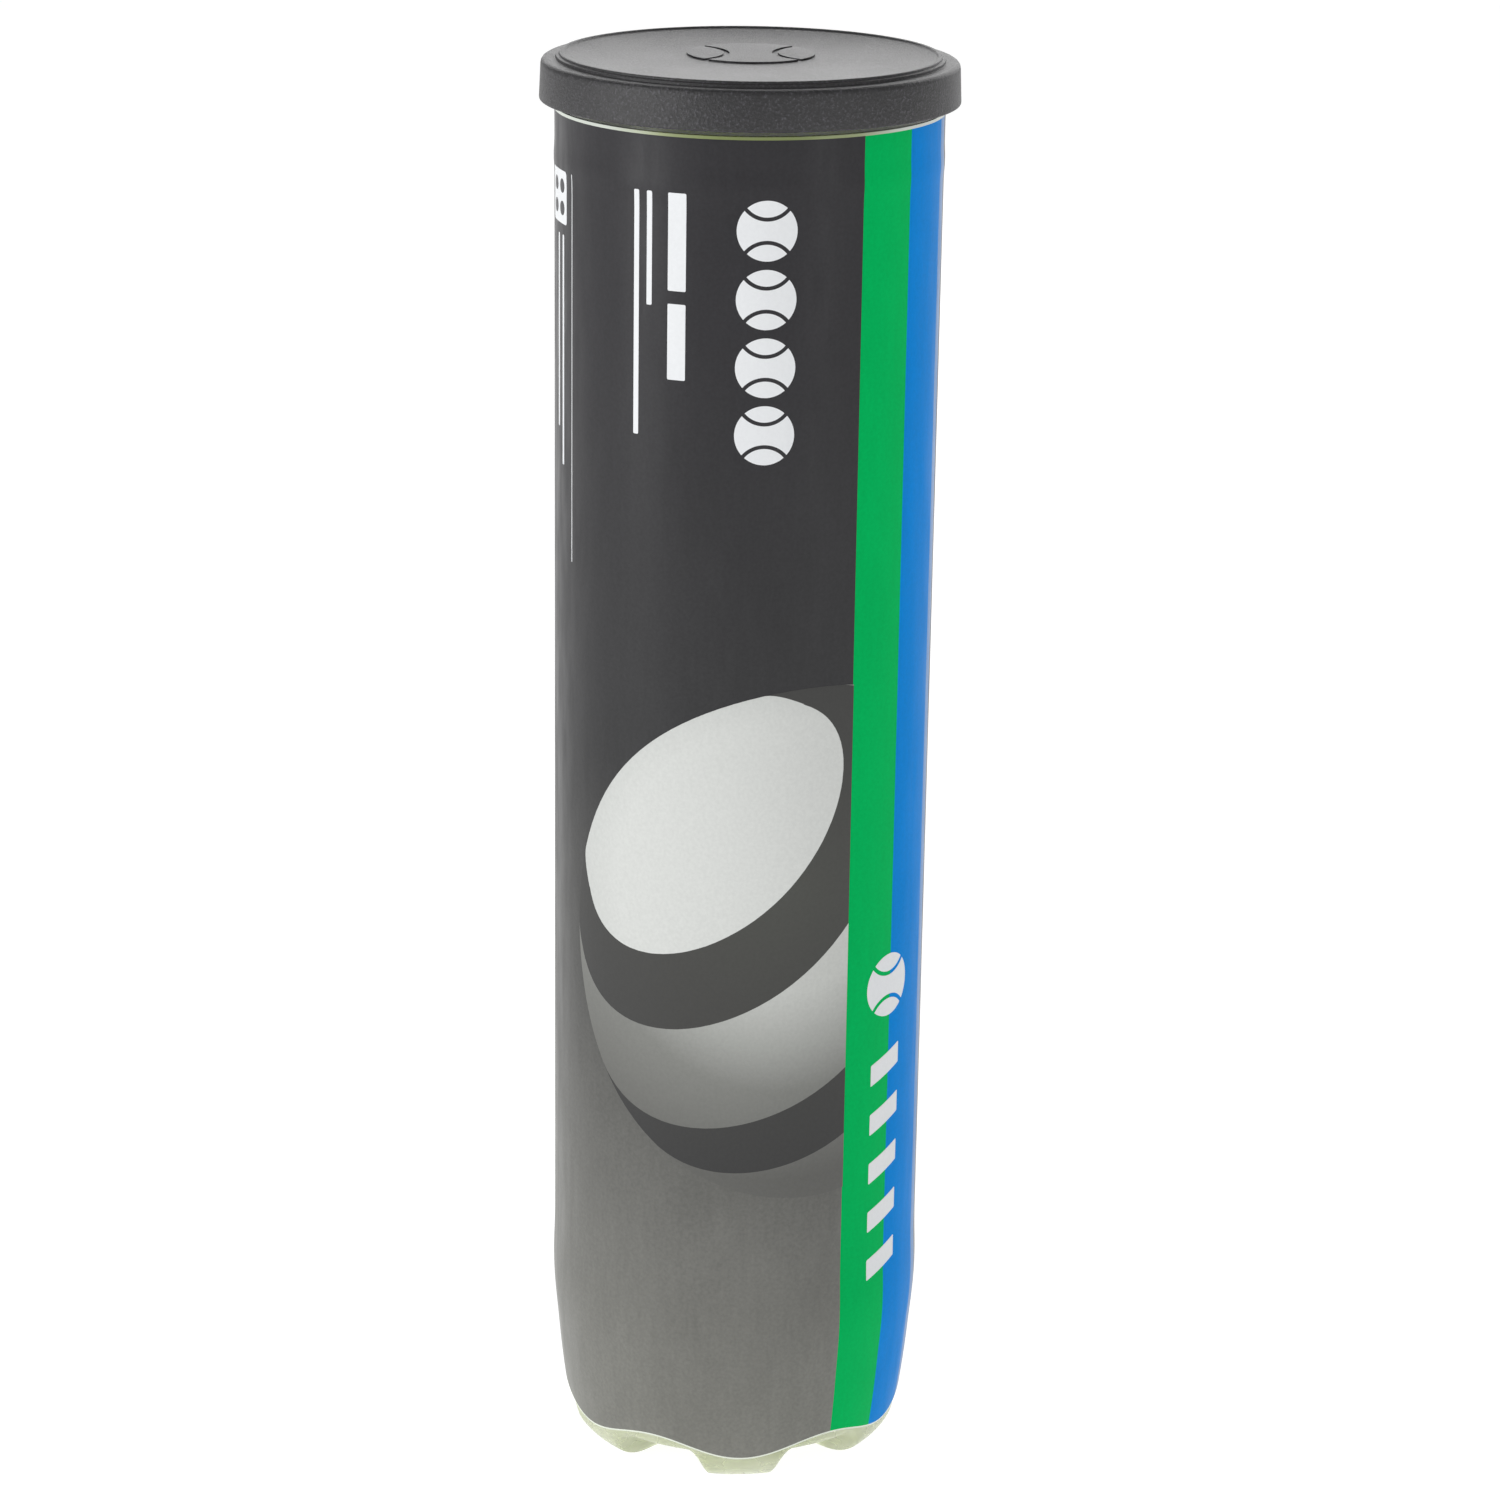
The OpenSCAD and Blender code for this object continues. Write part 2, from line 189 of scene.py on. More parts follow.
def divide(outline, longest):
    """An open outline with points added so that no straight step is longer than longest."""
    points = []
    for start, end in zip(outline, outline[1:]):
        a, b = Vector(start), Vector(end)
        parts = max(1, math.ceil((b - a).length / longest))
        points += [tuple(a.lerp(b, k / parts)) for k in range(parts)]
    points.append(tuple(outline[-1]))
    return points


def lathe(outline, columns):
    """Points and faces of a closed outline of (r, z) turned about the axis; r = 0 gives a pole."""
    verts, rows = [], []
    angles = [TAU * k / columns for k in range(columns)]
    for r, z in outline:
        if r < 1e-6:
            rows.append([len(verts)] * columns)
            verts.append((0, 0, z))
        else:
            rows.append(list(range(len(verts), len(verts) + columns)))
            verts += [(r * math.sin(a), -r * math.cos(a), z) for a in angles]
    faces = []
    for upper, lower in zip(rows, rows[1:] + rows[:1]):
        for k in range(columns):
            n = (k + 1) % columns
            face = list(dict.fromkeys([upper[k], upper[n], lower[n], lower[k]]))
            if len(face) > 2:
                faces.append(face)
    return verts, faces


def grid_faces(rows, columns, closed=False):
    """Quads of a grid whose points are stored row by row. Each row is a ring; closed joins last and first."""
    faces = []
    for i in range(rows if closed else rows - 1):
        for k in range(columns):
            i2, k2 = (i + 1) % rows, (k + 1) % columns
            faces.append([a * columns + b for a, b in ((i, k), (i, k2), (i2, k2), (i2, k))])
    return faces


def turned(loop, turn):
    """Points in space of a grid of (r, z), whose columns stand at the angles in turn from the front."""
    r, z = loop[:, :, 0], loop[:, :, 1]
    return np.stack([r * np.sin(turn), -r * np.cos(turn), z], 2).reshape(-1, 3)


def slice_mesh(bm, point, normal, **clear):
    """Cuts a whole mesh along a plane."""
    geometry = list(bm.verts) + list(bm.edges) + list(bm.faces)
    bmesh.ops.bisect_plane(bm, geom=geometry, dist=1e-5, plane_co=point, plane_no=normal, **clear)


def dress(node_name, material):
    """Gives a material to a node that is shown as it was designed."""
    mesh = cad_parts[node_name].data
    mesh.materials.clear()
    mesh.materials.append(material)


# ---------------------------------------------------------------- materials

class Shader:
    """A Principled material whose nodes are added by short calls."""

    def __init__(self, name, colour, roughness=0.5, **sockets):
        self.material = bpy.data.materials.new(name)
        self.material.use_nodes = True
        self.tree = self.material.node_tree
        self.shader = self.tree.nodes["Principled BSDF"]
        self.shader.inputs["Base Color"].default_value = (*colour, 1)
        self.shader.inputs["Roughness"].default_value = roughness
        for key, value in sockets.items():
            self.shader.inputs[key.replace("_", " ")].default_value = value
        self.coords = self.node("TexCoord").outputs["Object"]

    def node(self, kind, values=None, **settings):
        node = self.tree.nodes.new("ShaderNode" + kind)
        for key, value in settings.items():
            setattr(node, key, value)
        for key, value in (values or {}).items():
            self.put(node.inputs[key], value)
        return node

    def put(self, socket, value):
        if isinstance(value, bpy.types.NodeSocket):
            self.tree.links.new(value, socket)
        else:
            socket.default_value = value

    def noise(self, scale, detail=2, stretch=(1, 1, 1), roughness=0.5):
        """Noise from 0 to 1, with scale in features per metre."""
        mapped = self.node("Mapping", {"Vector": self.coords, "Scale": stretch})
        values = {"Vector": mapped.outputs[0], "Scale": scale, "Detail": detail, "Roughness": roughness}
        return self.node("TexNoise", values).outputs["Fac"]

    def ramp(self, value, stops):
        """Values or colours spread over 0 to 1."""
        node = self.node("ValToRGB", {"Fac": value})
        ramp = node.color_ramp
        while len(ramp.elements) < len(stops):
            ramp.elements.new(0.5)
        for element, (position, colour) in zip(ramp.elements, stops):
            element.position = position
            element.color = (*colour, 1) if isinstance(colour, tuple) else (colour, colour, colour, 1)
        return node.outputs["Color"]

    def spread(self, value, low, high, to_low=0.0, to_high=1.0):
        values = {"Value": value, "From Min": low, "From Max": high, "To Min": to_low, "To Max": to_high}
        return self.node("MapRange", values).outputs["Result"]

    def maths(self, operation, a, b=0.0):
        return self.node("Math", {0: a, 1: b}, operation=operation).outputs[0]

    def mix(self, factor, a, b, blend="MIX"):
        node = self.node("Mix", data_type="RGBA", blend_type=blend)
        self.put(node.inputs[0], factor)
        self.put(node.inputs[6], a if not isinstance(a, tuple) else (*a, 1))
        self.put(node.inputs[7], b if not isinstance(b, tuple) else (*b, 1))
        return node.outputs[2]

    def set(self, name, value):
        self.put(self.shader.inputs[name], value)

    def relief(self, *layers):
        """Bump from (height 0 to 1, depth in metres) layers."""
        normal = None
        for height, depth in layers:
            values = {"Height": height, "Distance": depth, "Strength": 1.0}
            if normal is not None:
                values["Normal"] = normal
            normal = self.node("Bump", values).outputs["Normal"]
        self.set("Normal", normal)

    def height(self):
        return self.node("SeparateXYZ", {0: self.coords}).outputs["Z"]


def linear(r, g, b):
    """Linear colour from 0 to 255 display values."""
    shares = (r / 255, g / 255, b / 255)
    return tuple(c / 12.92 if c <= 0.04045 else ((c + 0.055) / 1.055) ** 2.4 for c in shares)


def clear_pet():
    """Blow-moulded PET with a green tinge."""
    s = Shader("clear_pet", linear(236, 243, 212), 0.1, IOR=1.5, Transmission_Weight=1.0)
    s.set("Roughness", s.spread(s.noise(900, 3), 0.35, 0.75, 0.03, 0.12))
    s.relief((s.noise(60, 2, (1, 1, 0.4)), 0.00010))
    return s.material


def hazy_pet():
    """The same PET where it is stretched over the feet."""
    s = Shader("clear_pet_feet", linear(236, 243, 212), 0.1, IOR=1.5, Transmission_Weight=0.45)
    s.set("Roughness", s.spread(s.noise(200, 2), 0.35, 0.75, 0.24, 0.34))
    tinge = s.noise(110, 2, (1, 1, 2))
    s.set("Base Color", s.ramp(tinge, [(0.3, linear(222, 229, 190)), (0.7, linear(240, 245, 216))]))
    s.relief((s.noise(90, 2), 0.00008))
    return s.material


def film(name, colour, stops=None, shine=0.22, texture=1.0):
    """Printed shrink film: ink with a fine weave and faint scuffs under a satin skin."""
    s = Shader(name, colour, 0.36, Specular_IOR_Level=shine)
    ink = colour
    if stops is not None:
        ink = s.ramp(s.spread(s.height(), 0.0, 0.28), stops)
    streaks = s.noise(700, 3, (1, 1, 0.12))
    weave = s.noise(1500, 3)
    scuffs = s.noise(55, 5, (1, 1, 0.6), roughness=0.65)
    for grain, low, high in ((streaks, -0.045, 0.03), (weave, -0.10, 0.07), (scuffs, -0.08, 0.06)):
        tone = s.ramp(grain, [(0.3, 1 + low * texture), (0.7, 1 + high * texture)])
        ink = s.mix(1.0, ink, tone, "MULTIPLY")
    s.set("Base Color", ink)
    s.set("Roughness", s.spread(s.noise(350, 3, (1, 1, 0.2)), 0.3, 0.7, 0.30, 0.44))
    s.relief((s.noise(38, 2, (1, 1, 0.3)), 0.00007), (weave, 0.000008))
    return s.material


def film_margin():
    """The film's unprinted top edge, painted as if the ball showed at its middle, with painted daylight,
    near-white, towards its left and right sides.
    """
    s = Shader("film_margin", linear(150, 160, 112), 0.25)
    aside = s.maths("ABSOLUTE", s.node("SeparateXYZ", {0: s.coords}).outputs["X"])
    # Painted light: near-white towards the left and right sides, the ball's yellow-green painted in at the
    # middle
    s.set("Base Color", s.ramp(s.spread(aside, 0.0, 0.036), [
        (0.2, linear(122, 134, 78)), (0.5, linear(150, 160, 116)), (0.75, linear(206, 212, 202)),
    ]))
    s.relief((s.noise(300, 2), 0.00002))
    return s.material


def film_inside():
    s = Shader("film_inside", linear(222, 224, 220), 0.5)
    s.set("Base Color", s.ramp(s.noise(300, 2), [(0.3, linear(214, 216, 212)), (0.7, linear(228, 230, 226))]))
    return s.material


def print_ink(name, centre, reach, stops):
    """Ink that shades outwards from a point on the sleeve, as a drawn ball does."""
    s = Shader(name, stops[0][1], 0.4, Specular_IOR_Level=0.2)
    away = s.node("VectorMath", {0: s.coords, 1: centre}, operation="DISTANCE").outputs["Value"]
    ink = s.ramp(s.spread(away, 0.0, reach), stops)
    weave = s.noise(1500, 3)
    ink = s.mix(1.0, ink, s.ramp(weave, [(0.3, 0.955), (0.7, 1.03)]), "MULTIPLY")
    s.set("Base Color", ink)
    s.relief((s.noise(38, 2, (1, 1, 0.3)), 0.00007), (weave, 0.000005))
    return s.material


def cap_plastic():
    """Black moulded polyethylene with a spark-eroded grain, rubbed a little smoother in patches."""
    s = Shader("cap_plastic", linear(30, 29, 32), 0.42, Specular_IOR_Level=0.66)
    grain = s.noise(2000, 3, roughness=0.65)
    patches = s.noise(90, 4)
    tone = s.ramp(patches, [(0.3, linear(24, 23, 26)), (0.75, linear(31, 30, 33))])
    s.set("Base Color", s.mix(1.0, tone, s.ramp(grain, [(0.40, 0.4), (0.56, 1.3), (0.70, 6.0)]), "MULTIPLY"))
    s.set("Roughness", s.spread(patches, 0.3, 0.7, 0.43, 0.46))
    s.relief((grain, 0.00020))
    return s.material


def rolled_metal(name, colour, roughness=0.24, round_grain=True):
    """Lacquered aluminium sheet; the grain runs round the axis or straight across."""
    s = Shader(name, colour, roughness, Metallic=1.0)
    if round_grain:
        flat = s.node("VectorMath", {0: s.coords, 1: (1, 1, 0)}, operation="MULTIPLY").outputs[0]
        radius = s.node("VectorMath", {0: flat}, operation="LENGTH").outputs["Value"]
        rings = s.node("CombineXYZ", {"X": radius}).outputs[0]
        grain = s.node("TexNoise", {"Vector": rings, "Scale": 9000, "Detail": 2}).outputs["Fac"]
    else:
        grain = s.noise(6000, 2, (1, 0.03, 1))
    s.set("Roughness", s.spread(grain, 0.3, 0.7, roughness - 0.07, roughness + 0.09))
    s.set("Base Color", s.mix(s.noise(160, 3), tuple(0.93 * c for c in colour), colour))
    s.relief((grain, 0.000008), (s.noise(120, 2), 0.00003))
    return s.material


def compound():
    s = Shader("seam_compound", (0.30, 0.26, 0.20), 0.75)
    s.set("Base Color", s.ramp(s.noise(700, 4), [(0.3, (0.26, 0.22, 0.17)), (0.7, (0.34, 0.30, 0.23))]))
    s.relief((s.noise(1500, 3), 0.00003))
    return s.material


def felt():
    """Napped felt: short fibres lying in swirls, with lint and a soft sheen."""
    s = Shader("ball_felt", linear(205, 226, 62), 0.95, Specular_IOR_Level=0.15)
    s.set("Sheen Weight", 0.7)
    s.set("Sheen Roughness", 0.5)
    s.set("Sheen Tint", (*linear(236, 246, 150), 1))
    swirl = s.noise(420, 6, roughness=0.7)
    fibre = s.noise(2600, 4, roughness=0.75)
    shade = s.mix(s.ramp(swirl, [(0.3, 0.0), (0.72, 1.0)]), linear(188, 208, 44), linear(224, 240, 88))
    shade = s.mix(s.ramp(fibre, [(0.35, 0.0), (0.7, 0.55)]), shade, linear(236, 246, 128))
    s.set("Base Color", shade)
    s.relief((swirl, 0.0006), (fibre, 0.0005))
    return s.material


def rubber(name, light, dark, roughness=0.7):
    s = Shader(name, light, roughness)
    s.set("Base Color", s.ramp(s.noise(500, 4), [(0.3, dark), (0.7, light)]))
    s.relief((s.noise(1800, 3), 0.00004))
    return s.material


CHARCOAL = linear(46, 45, 48)
LABEL_STOPS = [
    (0.03, linear(124, 124, 118)), (0.20, linear(110, 110, 106)), (0.36, linear(80, 80, 78)),
    (0.54, linear(52, 52, 53)), (0.85, CHARCOAL),
]
PET = clear_pet()
PET_FEET = hazy_pet()
FILM_DARK = film("film_charcoal", CHARCOAL, LABEL_STOPS)
FILM_GREEN = film("film_green", linear(0, 181, 92), shine=0.02, texture=0.5)
FILM_BLUE = film("film_blue", linear(0, 132, 216), shine=0.02, texture=0.5)
# A painted highlight: the lighter blue strip beside the blue stripe
FILM_BLUE_HIGHLIGHT = film("film_blue_painted_highlight", linear(110, 150, 200), shine=0.1)
FILM_WHITE = film("film_white", linear(228, 230, 232), shine=0.2, texture=0.2)
FILM_SEAM = film("film_seam", linear(60, 60, 63))
# A painted highlight: the near-white line along the film's lower edge
FILM_RIM_HIGHLIGHT = film("film_rim_painted_highlight", linear(230, 236, 222), shine=0.4, texture=0.2)
# Carries painted daylight at its sides and the ball painted in at its middle
FILM_MARGIN = film_margin()
FILM_INSIDE = film_inside()
CAP = cap_plastic()
END_METAL = rolled_metal("end_aluminium", (0.64, 0.64, 0.655), 0.24)
PANEL_METAL = rolled_metal("panel_aluminium", (0.52, 0.52, 0.535), 0.30)
TAB_METAL = rolled_metal("tab_aluminium", (0.60, 0.60, 0.62), 0.22, round_grain=False)
COMPOUND = compound()
FELT = felt()
SEAM_RUBBER = rubber("seam_rubber", linear(232, 232, 214), linear(212, 212, 192), 0.55)
CORE_RUBBER = rubber("core_rubber", (0.035, 0.032, 0.03), (0.022, 0.02, 0.019))


# ---------------------------------------------------------------- the clear tube

def resample(points, count):
    """count + 1 points at even steps along a line of points, without the last one."""
    points = np.array(points, float)
    steps = np.linalg.norm(np.diff(points, axis=0), axis=1)
    along = np.concatenate([[0], np.cumsum(steps)])
    wanted = np.linspace(0, along[-1], count + 1)[:-1]
    return np.stack([np.interp(wanted, along, points[:, i]) for i in (0, 1)], 1)


def quarter(r0, z0, r1, z1, count=24):
    """A quarter ellipse from (r0, z0), flat, to (r1, z1), upright."""
    a = np.linspace(0, math.pi / 2, count + 1)
    return np.stack([r0 + (r1 - r0) * np.sin(a), z0 + (z1 - z0) * (1 - np.cos(a))], 1)


def base_profiles():
    """Two outlines with matching points, from the axis to the side wall: through a foot and between two."""
    top = [float(wall_r(BASE_TOP)), BASE_TOP]
    heel_levels = np.linspace(HEEL_Z, BASE_TOP, 9)
    side_foot = [[float(wall_r(z)) - STEP_IN * (z < HEEL_Z + 1), z] for z in heel_levels]
    side_gap = [[float(wall_r(z)), z] for z in np.linspace(KNUCKLE_TOP, BASE_TOP, 9)]
    knuckle = quarter(KNUCKLE_R, KNUCKLE_Z, float(wall_r(KNUCKLE_TOP)) - STEP_IN, KNUCKLE_TOP)
    # Both outlines have the same four stretches: dome, standing ring, rise and side
    foot = [
        [[0, FOOT_MID_Z], [4, 6.6], [15.5, 0.75], [FOOT_INNER_R, 0]],
        [[FOOT_INNER_R, 0], [FOOT_OUTER_R, 0]],
        quarter(FOOT_OUTER_R, 0, HEEL_R - STEP_IN, HEEL_Z),
        side_foot,
    ]
    gap = [
        [[0, GAP_MID_Z], [FOOT_INNER_R, GAP_INNER_Z]],
        [[FOOT_INNER_R, GAP_INNER_Z], [FOOT_OUTER_R, GAP_OUTER_Z]],
        np.concatenate([[[FOOT_OUTER_R, GAP_OUTER_Z]], knuckle]),
        side_gap,
    ]
    counts = (16, 9, 20, 12)

    def whole(stretches):
        return np.concatenate([resample(s, n) for s, n in zip(stretches, counts)] + [[top]])

    return whole(foot), whole(gap)


def wall_inside(outside):
    """The wall's inner face: one wall thickness behind the outer one."""
    columns = outside.shape[1]
    row = np.gradient(outside, axis=0)
    normal = np.stack([-row[:, :, 1], row[:, :, 0]], 2)
    # Where a foot turns towards its neighbour the wall also slopes sideways
    drop = np.gradient(outside[:, :, 1], axis=1) / (np.maximum(outside[:, :, 0], 1) * TAU / columns)
    length = np.sqrt(normal[:, :, 0] ** 2 + normal[:, :, 1] ** 2)
    upright = normal[:, :, 1] / length
    thin = 1 / np.sqrt(1 + (drop * upright) ** 2)
    inside = outside + normal / length[:, :, None] * WALL / thin[:, :, None]
    inside[:, :, 0] = np.maximum(inside[:, :, 0], 0)
    inside[0] = [0, GAP_MID_Z + WALL]
    return inside


def can_shell():
    """The tube: six feet, side wall, neck, and the flange that hooks into the seam."""
    columns = 360
    turn = np.arange(columns) * TAU / columns
    foot, gap = base_profiles()
    off = np.abs((np.degrees(turn) + 180 / FEET) % (360 / FEET) - 180 / FEET)
    share = smooth((FOOT_END - off) / (FOOT_END - FOOT_FULL))[None, :, None]
    base = gap[:, None, :] * (1 - share) + foot[:, None, :] * share
    for _ in range(3):
        base[1:-1] = (base[:-2] + 2 * base[1:-1] + base[2:]) / 4
    base[:, :, 1] = np.maximum(base[:, :, 1], 0)
    # The rows lie close together at the belly and at the bead
    heights = np.concatenate([np.linspace(17, 49, 17), np.linspace(60, 255, 14), np.linspace(258, 267, 13)])
    side = [(float(wall_r(z)), z) for z in heights]
    under = FLANGE_TOP - FLANGE_T
    neck = [
        (BODY_R, NECK_Z - 0.6), (BODY_R + 0.08, NECK_Z), (BODY_R + 0.3, NECK_Z + 0.9), (NECK_R, NECK_Z + 1.9),
        (NECK_R, FLANGE_TOP - 1.4), (NECK_R, under),
    ]
    outside = np.concatenate([base, np.repeat(np.array(side + neck)[:, None, :], columns, 1)])
    inside = wall_inside(outside)
    flange = np.array(round_corners([
        (NECK_R, under, 0), (NECK_R + 0.05, under, 0), (HOOK_R - FLANGE_T, under, 0.2),
        (HOOK_R - FLANGE_T, HOOK_BOTTOM, 0.1), (HOOK_R, HOOK_BOTTOM, 0.1), (HOOK_R, FLANGE_TOP, 0.35),
        (MOUTH_R, FLANGE_TOP, 0.1),
    ], 3))
    inside_top = np.array([(MOUTH_R, FLANGE_TOP - 0.6)])
    loop = np.concatenate([
        outside, np.repeat(flange[:, None, :], columns, 1), np.repeat(inside_top[:, None, :], columns, 1),
        inside[::-1],
    ])
    faces = grid_faces(len(loop), columns)
    obj = piece("can_shell", turned(loop, turn), faces, [PET, PET_FEET], "can", ["can_body"],
                recalc=False)
    for face in obj.data.polygons:
        face.material_index = 1 if face.center.z < HAZE_TOP * MM else 0
    bm = bmesh.new()
    bm.from_mesh(obj.data)
    bmesh.ops.remove_doubles(bm, verts=bm.verts, dist=0.002 * MM)
    bmesh.ops.recalc_face_normals(bm, faces=bm.faces)
    bm.to_mesh(obj.data)
    bm.free()
    return obj


# ---------------------------------------------------------------- the printed sleeve

def sleeve_low(turn):
    """Height of the sleeve's lower edge at an angle from the front."""
    return SLEEVE_LOW - SLEEVE_SWING * np.cos(FEET * turn)


def sleeve():
    """The shrunk film. Its stripes, the painted highlight strip beside the blue one, and its unprinted edges,
    which carry painted light, are regions of one mesh.
    """
    dark, green, blue, blue_highlight, margin, rim, back = range(7)
    # The last band is a painted highlight, lighter blue, beside the blue stripe
    bands = [
        (BLUE_HIGHLIGHT_TO - 360, GREEN_FROM, dark, 200), (GREEN_FROM, GREEN_TO, green, 16),
        (GREEN_TO, BLUE_TO, blue, 18), (BLUE_TO, BLUE_HIGHLIGHT_TO, blue_highlight, 5),
    ]
    turns, colours = [], []
    for start, end, colour, parts in bands:
        turns += [math.radians(start + (end - start) * k / parts) for k in range(parts)]
        colours += [colour] * parts
    turn = np.array(turns)
    columns = len(turn)
    # Rows, as shares of the height, are closest at the tapered foot and at the neck
    taper, neck = 0.16, 0.94
    share = np.concatenate([
        [0, RIM_TO / 2], np.linspace(RIM_TO, taper, 30, endpoint=False),
        np.linspace(taper, neck, 60, endpoint=False), np.linspace(neck, MARGIN_FROM, 12),
        np.linspace(MARGIN_FROM, 1, 5)[1:],
    ])
    low = sleeve_low(turn)
    z = low[None, :] + (SLEEVE_TOP - low)[None, :] * share[:, None]
    r = wall_r(z) + SLEEVE_GAP
    # The film stands off a little at its top, where it shrank over nothing
    r = r + 0.05 * np.exp(-(SLEEVE_TOP - z) / 0.8)
    edge = 0.03
    outer = np.stack([r + SLEEVE_T, z], 2)
    inner = np.stack([r, z], 2)
    rim_top = np.stack([r[-1] + SLEEVE_T / 2, z[-1] + edge], 1)[None]
    rim_low = np.stack([r[0] + SLEEVE_T / 2, z[0] - edge], 1)[None]
    loop = np.concatenate([outer, rim_top, inner[::-1], rim_low])
    faces = grid_faces(len(loop), columns, closed=True)
    materials = [FILM_DARK, FILM_GREEN, FILM_BLUE, FILM_BLUE_HIGHLIGHT, FILM_MARGIN, FILM_RIM_HIGHLIGHT, FILM_INSIDE]
    obj = piece("sleeve_film", turned(loop, turn), faces, materials, "can", ["label_sleeve"])
    # The lowest rows carry the painted highlight line along the film's lower edge
    rim_rows = 2
    margin_row = int(np.argmax(share > MARGIN_FROM)) - 1
    slots = []
    for i in range(len(loop)):
        unprinted = rim if i < rim_rows else margin if i < len(share) else back
        slots += colours if rim_rows <= i < margin_row else [unprinted] * columns
    obj.data.polygons.foreach_set("material_index", slots)
    return obj


PRINT_T = 0.03          # a print lies this far above the film, and as far into it
COLUMN = 2.0            # degrees between a print's upright cuts
ROW = 2.5               # millimetres between its level cuts, so that it follows the belly


def wrap(flat, name, materials, lift=PRINT_T):
    """Bends a flat print round the sleeve. flat is a bmesh in millimetres: x runs round, y is the height."""
    xs = [v.co.x for v in flat.verts]
    ys = [v.co.y for v in flat.verts]
    step = math.radians(COLUMN) * SLEEVE_R
    for k in range(math.ceil(min(xs) / step), math.floor(max(xs) / step) + 1):
        slice_mesh(flat, (k * step, 0, 0), (1, 0, 0))
    for k in range(math.ceil(min(ys) / ROW), math.floor(max(ys) / ROW) + 1):
        slice_mesh(flat, (0, k * ROW, 0), (0, 1, 0))
    bmesh.ops.remove_doubles(flat, verts=flat.verts, dist=1e-3)
    bmesh.ops.recalc_face_normals(flat, faces=flat.faces)
    made = bmesh.ops.extrude_face_region(flat, geom=list(flat.faces))
    raised = {v for v in made["geom"] if isinstance(v, bmesh.types.BMVert)}
    for v in flat.verts:
        turn = v.co.x / SLEEVE_R
        r = float(wall_r(v.co.y)) + FILM_OUT + (lift if v in raised else -lift)
        v.co = Vector((r * math.sin(turn), -r * math.cos(turn), v.co.y)) * MM
    bmesh.ops.recalc_face_normals(flat, faces=flat.faces)
    mesh = bpy.data.meshes.new(name)
    flat.to_mesh(mesh)
    flat.free()
    return finish_piece(name, mesh, materials, "can", recalc=False)


def flat_shapes(outlines):
    """A flat bmesh with one face for each outline of (x, y) points."""
    flat = bmesh.new()
    for outline in outlines:
        flat.faces.new([flat.verts.new((x, y, 0)) for x, y in outline])
    return flat


def arc(cx, cy, r, a0, a1, count=24):
    return [(cx + r * math.cos(a0 + (a1 - a0) * k / count), cy + r * math.sin(a0 + (a1 - a0) * k / count))
            for k in range(count + 1)]


def bar(x0, y0, x1, y1, slant=0.0, corner=0.25):
    """A bar with slightly rounded corners; slant pushes its right side up."""
    r = min(corner, 0.45 * (x1 - x0), 0.45 * (y1 - y0))
    points = []
    centres = ((x1 - r, y1 - r), (x0 + r, y1 - r), (x0 + r, y0 + r), (x1 - r, y0 + r))
    for (cx, cy), a in zip(centres, (0, 90, 180, 270)):
        points += arc(cx, cy, r, math.radians(a), math.radians(a + 90), 4)
    return [(x, y + slant * (x - x0)) for x, y in points]


def split_disc(r, offset, inner, outer, rim_steps, seam_steps):
    """Three outlines of a disc round the origin: a lens on each side, and the waist between its seam lines.
    The seam lines run along y, between the radii inner and outer about points at offset on either side."""
    def meeting(radius):
        """Where the seam's circle meets the rim, as an angle about the disc and one about the circle."""
        x = (r ** 2 + offset ** 2 - radius ** 2) / (2 * offset)
        y = math.sqrt(r ** 2 - x ** 2)
        return math.atan2(y, x), math.atan2(y, offset - x)

    disc, bow = meeting(inner)
    lens = arc(0, 0, r, -disc, disc, rim_steps)
    lens += arc(offset, 0, inner, math.pi - bow, math.pi + bow, seam_steps)[1:-1]
    disc, bow = meeting(outer)
    waist = arc(offset, 0, outer, math.pi + bow, math.pi - bow, seam_steps)
    waist += arc(0, 0, r, disc, math.pi - disc, rim_steps)[1:-1]
    waist += [(-x, -y) for x, y in waist]
    return [[(-x, y) for x, y in lens], lens, waist]


def ball_icon(cx, cy, r):
    """A plain ball, as a disc split by seam lines that run across it."""
    offset, reach, line = 1.30 * r, 0.92 * r, 0.13 * r
    parts = split_disc(r, offset, reach - line / 2, reach + line / 2, 20, 16)
    return [[(cx + y, cy + x) for x, y in part] for part in parts]


def at(azimuth):
    """Distance round the sleeve, in millimetres, of an azimuth in degrees."""
    return math.radians(azimuth) * SLEEVE_R


